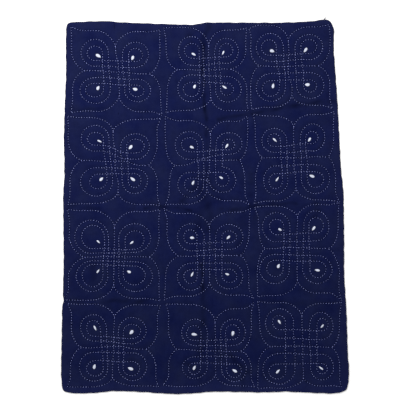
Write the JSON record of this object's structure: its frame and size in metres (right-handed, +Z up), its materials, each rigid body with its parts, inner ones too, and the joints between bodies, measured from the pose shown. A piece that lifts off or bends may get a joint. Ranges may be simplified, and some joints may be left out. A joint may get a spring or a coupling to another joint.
{
  "type": "kantha quilt",
  "caption": "Small hand-quilted cotton throw lying flat: navy cloth puffed between lines of running stitch that form looped squares and petals.",
  "frame": {"origin": "centre of the quilt's flat underside, on the surface it lies on", "axes": "+Z up out of the quilted face, +Y towards the head end along the long side, +X to the right across the quilt"},
  "size_m": [0.9519, 1.2376, 0.0058],
  "materials": {
    "quilted_cotton": "matt navy cotton with a fine plain weave",
    "stitch_thread": "matt pale cotton thread"
  },
  "bodies": {
    "root": {"quilt": "quilted_cotton"}
  },
  "joints": []
}
